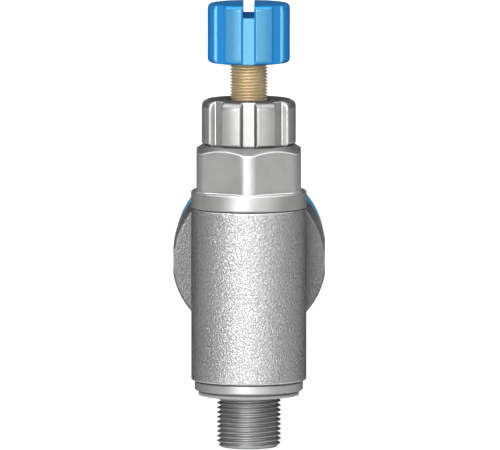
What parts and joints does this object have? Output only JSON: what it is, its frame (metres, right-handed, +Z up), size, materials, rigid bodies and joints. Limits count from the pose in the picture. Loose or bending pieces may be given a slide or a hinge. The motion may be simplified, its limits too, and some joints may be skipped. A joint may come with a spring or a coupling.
{
  "type": "one-way flow control valve",
  "caption": "Banjo-type one-way flow control valve with an M5 threaded hollow screw, a swivelling push-in tube fitting, and a needle screw set by a slotted knob and a lock nut.",
  "frame": {"origin": "on the screw's axis, at the face that seals on the port", "axes": "+Z up along the screw's axis from the port to the knob, +Y along the tube fitting away from the body, +X to the right when looking along +Y"},
  "size_m": [0.0116, 0.0233, 0.0341],
  "materials": {
    "turned_metal": "plated, fine turned satin",
    "cast_metal": "die-cast, fine rough skin, satin plating",
    "seal_plastic": "matt grey",
    "seal_rubber": "matt black",
    "ring_plastic": "natural, matt",
    "spring_steel": "stamped stainless sheet",
    "brass": "turned, bright",
    "blue_plastic": "moulded, satin blue",
    "blue_knob": "glossy blue"
  },
  "bodies": {
    "bolt": {"banjo_bolt": "turned_metal", "retaining_ring": "turned_metal", "port_seal": "seal_plastic", "lower_o_ring": "seal_rubber", "upper_o_ring": "seal_rubber", "lip_seal": "seal_rubber"},
    "swivel": {"swivel_body": "cast_metal", "tube_seal": "seal_rubber", "support_ring": "ring_plastic", "grab_ring": "spring_steel", "cartridge_sleeve": "brass"},
    "release_ring": {"release_ring": "blue_plastic"},
    "needle_slide": {"needle_o_ring": "seal_rubber"},
    "needle": {"regulating_screw": "brass", "adjusting_knob": "blue_knob"},
    "lock_nut": {"lock_nut": "turned_metal"}
  },
  "joints": [
    {"name": "body_swivel", "type": "hinge", "parent": "bolt", "child": "swivel", "pos_m": [0, 0, 0.00978], "axis": [0, 0, 1], "continuous": true},
    {"name": "release_press", "type": "slide", "parent": "swivel", "child": "release_ring", "axis": [0, -1, 0], "range_m": [0, 0.0008], "stiffness_N_per_m": 200, "springref_m": -0.0005},
    {"name": "needle_travel", "type": "slide", "parent": "bolt", "child": "needle_slide", "axis": [0, 0, 1], "range_m": [-0.0024, 0]},
    {"name": "needle_turn", "type": "hinge", "parent": "needle_slide", "child": "needle", "pos_m": [0, 0, 0.025], "axis": [0, 0, 1], "range_deg": [-3600, 0]},
    {"name": "lock_nut_turn", "type": "hinge", "parent": "bolt", "child": "lock_nut", "pos_m": [0, 0, 0.021], "axis": [0, 0, 1], "range_deg": [0, 360]}
  ],
  "couplings": [
    {"joint": "needle_turn", "follows": "needle_travel", "rad_per_m": 26180}
  ]
}
